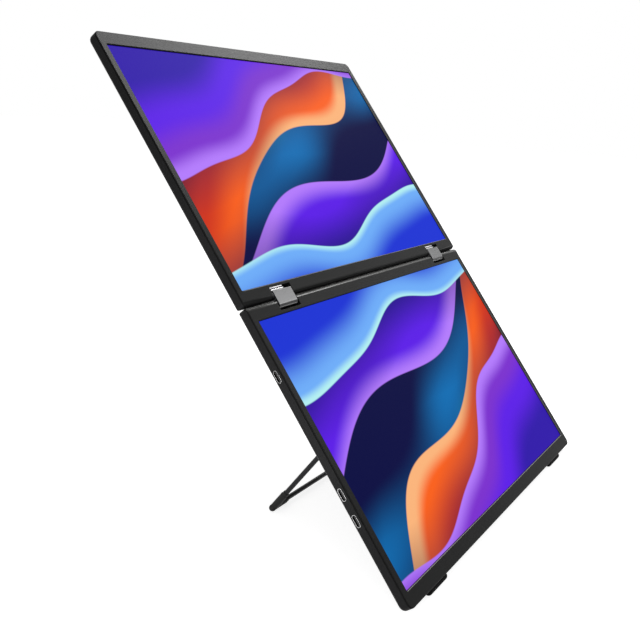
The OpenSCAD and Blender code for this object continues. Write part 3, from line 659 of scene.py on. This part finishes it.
def socketContacts():
    c = contacts
    bm = bmesh.new()
    length = c["end"] - c["start"]
    for socket in c["sockets"]:
        for side in (-1, 1):
            for index in range(c["count"]):
                y = socket + (index - (c["count"] - 1) / 2) * c["pitch"]
                centre = (c["start"] + length / 2, y, c["depth"] + side * c["tongueHalf"])
                addBar(bm, centre, (length, c["width"], 2 * c["height"]))
    bevelEdges(bm, bm.edges, c["edge"], segments=1)
    addPiece("socket_contacts", bm, "lower_display", "socket", goldPlate)


socketContacts()
print("sockets finished")

screwHeads = {  # mm
    "headReach": 0.1,  # up from a head's outer end
    "crossLength": 2.1,
    "crossWidth": 0.55,
    "slots": ((0, 0.50), (90, 0.47)),  # turn in degrees, depth
    "taper": 0.72,  # of the cross, at its floor
}


def slotCutter(place, turn, depth):
    # one slot of the cross, narrower at its floor
    size = Matrix.Diagonal((mm(screwHeads["crossLength"]), mm(screwHeads["crossWidth"]), mm(2 * depth), 1))
    bm = bmesh.new()
    made = bmesh.ops.create_cube(bm, size=1, matrix=Matrix.Rotation(math.radians(turn), 4, "Z") @ size)
    floor = [v for v in made["verts"] if v.co.z > 0]
    bmesh.ops.scale(bm, vec=(screwHeads["taper"], screwHeads["taper"], 1), verts=floor)
    bmesh.ops.transform(bm, matrix=standUp @ Matrix.Translation(place), verts=bm.verts)
    mesh = bpy.data.meshes.new("slot")
    bm.to_mesh(mesh)
    bm.free()
    cutter = bpy.data.objects.new("slot", mesh)
    scene.collection.objects.link(cutter)
    return cutter


def screwTops():
    # the outer end of each screw's head, in the flat frame
    bm = mergedCopy("clamp_screws")
    tops = []
    for side in (-1, 1):
        points = [toFlat @ v.co for v in bm.verts if v.co.x * side > 0]
        low = min(point.z for point in points)
        head = [point for point in points if point.z < low + mm(screwHeads["headReach"])]
        tops.append(sum(head, Vector()) / len(head))
    bm.free()
    return tops


def clampScrews():
    piece = addPiece("clamp_screws_finished", mergedCopy("clamp_screws"), bodyOf["clamp_screws"],
                     slotOf["clamp_screws"], plainSteel, "clamp_screws")
    cutters = [slotCutter(top, turn, depth) for top in screwTops() for turn, depth in screwHeads["slots"]]
    for cutter in cutters:
        cut = piece.modifiers.new("slot", "BOOLEAN")
        cut.operation = "DIFFERENCE"
        cut.solver = "EXACT"
        cut.object = cutter
    bpy.context.view_layer.update()
    finished = bpy.data.meshes.new_from_object(piece.evaluated_get(bpy.context.evaluated_depsgraph_get()))
    piece.modifiers.clear()
    piece.data = finished
    for cutter in cutters:
        bpy.data.objects.remove(cutter)


clampScrews()
print("screws finished")

studio = {
    "floorSize": 14.0,  # m
    "floorShade": 0.5,
    "floorGlow": 0.80,  # of what the camera sees
    "ambient": 0.60,
}
lamps = {  # m and watts
    "keyLight": {"place": (1.10, -0.03, 1.36), "aim": (0, 0.1, 0.3), "size": (0.40, 0.90), "power": 16.5},
    "fillLight": {"place": (-1.5, -1.3, 1.3), "aim": (0, 0, 0.15), "size": (1.5, 1.5), "power": 6.0},
    "lowLight": {"place": (-0.45, -0.02, 0.05), "aim": (-0.18, -0.05, 0.1), "size": (0.16, 0.16),
                 "power": 1.0},
    "sideLight": {"place": (1.14, -0.72, 0.77), "aim": (-0.15, -0.03, 0.12), "size": (0.5, 0.5),
                  "power": 2.4},
}


def seenDirectly(tree):
    path = tree.nodes.new("ShaderNodeLightPath")
    mirrored = calc(tree, "MAXIMUM", path.outputs["Is Glossy Ray"], path.outputs["Is Transmission Ray"])
    return calc(tree, "MAXIMUM", path.outputs["Is Camera Ray"], mirrored)


def makeFloor():
    mesh = bpy.data.meshes.new("floor")
    bm = bmesh.new()
    bmesh.ops.create_grid(bm, x_segments=1, y_segments=1, size=studio["floorSize"] / 2)
    bm.to_mesh(mesh)
    bm.free()
    floor = bpy.data.objects.new("floor", mesh)
    scene.collection.objects.link(floor)
    material = bpy.data.materials.new("paleFloor")
    material.use_nodes = True
    tree = material.node_tree
    tree.nodes.clear()
    paint = addNode(tree, "ShaderNodeBsdfDiffuse", {"Color": (studio["floorShade"],) * 3})
    strength = calc(tree, "MULTIPLY", seenDirectly(tree), studio["floorGlow"])
    glow = addNode(tree, "ShaderNodeEmission", {"Strength": strength})
    both = addNode(tree, "ShaderNodeAddShader", {0: paint.outputs[0], 1: glow.outputs[0]})
    addNode(tree, "ShaderNodeOutputMaterial", {"Surface": both.outputs[0]})
    mesh.materials.append(material)


def makeWorld():
    world = bpy.data.worlds.new("studio")
    scene.world = world
    world.use_nodes = True
    tree = world.node_tree
    background = tree.nodes["Background"]
    background.inputs["Color"].default_value = (1, 1, 1, 1)
    strength = spread(tree, seenDirectly(tree), studio["ambient"], 1.0, 0.0, 1.0)
    feed(tree, background.inputs["Strength"], strength)


def softLight(name, place, aim, size, power):
    light = bpy.data.lights.new(name, "AREA")
    light.shape = "ELLIPSE"
    light.size, light.size_y = size
    light.energy = power
    lamp = bpy.data.objects.new(name, light)
    lamp.location = place
    lamp.rotation_euler = (Vector(aim) - Vector(place)).to_track_quat("-Z", "Y").to_euler()
    lamp.visible_camera = False
    scene.collection.objects.link(lamp)


view = {
    "place": (-0.648222, -0.326894, 0.310459),  # m
    "turn": (76.8039, -3.1586, -59.199),  # degrees
    "lens": 50.3448,  # mm
    "sensor": 36,  # mm
    "shift": (0.00766, -0.01259),
    "near": 0.01,  # m
}


def makeCamera():
    camera = bpy.data.cameras.new("camera")
    camera.lens = view["lens"]
    camera.sensor_width = view["sensor"]
    camera.shift_x, camera.shift_y = view["shift"]
    camera.clip_start = view["near"]
    holder = bpy.data.objects.new("camera", camera)
    holder.location = view["place"]
    holder.rotation_euler = [math.radians(angle) for angle in view["turn"]]
    scene.collection.objects.link(holder)
    scene.camera = holder


makeFloor()
makeWorld()
for lampName, lampLook in lamps.items():
    softLight(lampName, **lampLook)
makeCamera()
scene.view_settings.view_transform = "Standard"
print("stage set")
